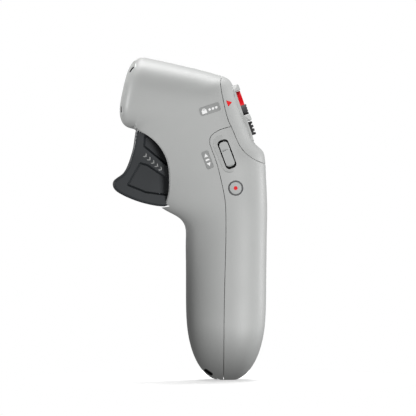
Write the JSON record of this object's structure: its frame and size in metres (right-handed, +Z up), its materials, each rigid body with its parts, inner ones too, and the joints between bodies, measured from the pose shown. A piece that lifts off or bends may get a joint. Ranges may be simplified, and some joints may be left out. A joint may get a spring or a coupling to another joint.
{
  "type": "radio transmitter controller",
  "caption": "Pistol-grip drone motion controller with a finger trigger, thumb lock and mode buttons, tilt slider and record button.",
  "frame": {"origin": "centre of the flat of the base", "axes": "+Z up the grip, -X towards the nose and trigger, -Y the operator's left side"},
  "size_m": [0.077, 0.043, 0.161],
  "materials": {
    "shell_grey": "fine spark-eroded matte",
    "panel_grey": "fine matte",
    "control_grey": "smooth matte",
    "label_grey": "printed, satin",
    "print_white": "printed, matte",
    "print_red": "printed, satin",
    "button_red": "satin moulded",
    "button_dark": "fine matte",
    "button_black": "fine matte",
    "trigger_black": "fine matte",
    "inlay_dark": "polished",
    "board_green": "solder resist",
    "chip_black": "moulded",
    "steel": "drawn",
    "zinc_screw": "zinc plated",
    "magnet": "nickel plated",
    "bronze": "sintered",
    "cell_wrap": "shrink wrap",
    "nickel": "plated",
    "tray_black": "moulded",
    "wire_red": "silicone",
    "ribbon": "polyimide",
    "antenna_board": "solder resist",
    "light_pipe": "translucent"
  },
  "bodies": {
    "housing": {"front_shell": "shell_grey", "rear_cover": "shell_grey", "thumb_panel": "panel_grey", "record_button_ring": "button_dark", "power_button_ring": "button_dark", "lock_label_plate": "label_grey", "tilt_label_plate": "label_grey", "lock_label_glyph": "print_white", "tilt_label_glyph": "print_white", "unlock_arrow_mark": "print_red", "nose_inlays": "inlay_dark", "trigger_pivot_pin": "steel", "trigger_return_spring": "steel", "battery_cell": "cell_wrap", "battery_contacts": "nickel", "battery_tray": "tray_black", "battery_leads": "wire_red", "main_board": "board_green", "chassis_screws": "zinc_screw", "main_board_chips": "chip_black", "haptic_motor": "nickel", "usb_port_shell": "steel", "usb_port_tongue": "chip_black", "flex_ribbon": "ribbon", "side_board_left": "board_green", "side_board_right": "board_green", "side_board_screws": "zinc_screw", "record_switch": "chip_black", "power_switch": "chip_black", "tilt_sensor": "chip_black", "thumb_board": "board_green", "thumb_board_screws": "zinc_screw", "lock_switch": "chip_black", "mode_switch": "chip_black", "radio_board": "board_green", "radio_board_screws": "zinc_screw", "radio_shield_can": "nickel", "radio_chip": "chip_black", "antenna_left": "antenna_board", "antenna_right": "antenna_board", "buzzer": "chip_black", "light_board_header": "chip_black", "light_board": "board_green", "battery_light_pipes": "light_pipe", "hall_sensor_board": "board_green", "hall_sensor": "chip_black", "lanyard_sleeve": "tray_black"},
    "trigger_body": {"trigger": "trigger_black", "trigger_magnet": "magnet", "trigger_bushing": "bronze"},
    "lock_button": {"lock_button_cap": "button_red", "lock_button_grip": "button_dark"},
    "mode_button_body": {"mode_button": "button_black"},
    "tilt_slider": {"tilt_slider_cap": "control_grey", "tilt_slider_carriage": "tray_black"},
    "record_button": {"record_button_cap": "control_grey", "record_button_dot": "print_red"},
    "power_button": {"power_button_cap": "control_grey", "power_button_mark": "print_white"}
  },
  "joints": [
    {"name": "trigger_pull", "type": "hinge", "parent": "housing", "child": "trigger_body", "pos_m": [-0.036, 0, 0.1285], "axis": [0, -1, 0], "range_deg": [0, 10], "stiffness_Nm_per_rad": 0.35, "springref_deg": -20.05},
    {"name": "lock_press", "type": "slide", "parent": "housing", "child": "lock_button", "axis": [-0.9466, 0, -0.3223], "range_m": [0, 0.0006], "stiffness_N_per_m": 900, "springref_m": -0.0006},
    {"name": "mode_press", "type": "slide", "parent": "housing", "child": "mode_button_body", "axis": [-0.9466, 0, -0.3223], "range_m": [0, 0.0005], "stiffness_N_per_m": 900, "springref_m": -0.0005},
    {"name": "tilt_slide", "type": "slide", "parent": "housing", "child": "tilt_slider", "axis": [-0.3502, 0, 0.9367], "range_m": [-0.0009, 0.0009], "stiffness_N_per_m": 600},
    {"name": "record_press", "type": "slide", "parent": "housing", "child": "record_button", "axis": [0, 1, 0], "range_m": [0, 0.0005], "stiffness_N_per_m": 900, "springref_m": -0.0005},
    {"name": "power_press", "type": "slide", "parent": "housing", "child": "power_button", "axis": [0, -1, 0], "range_m": [0, 0.0005], "stiffness_N_per_m": 900, "springref_m": -0.0005}
  ]
}
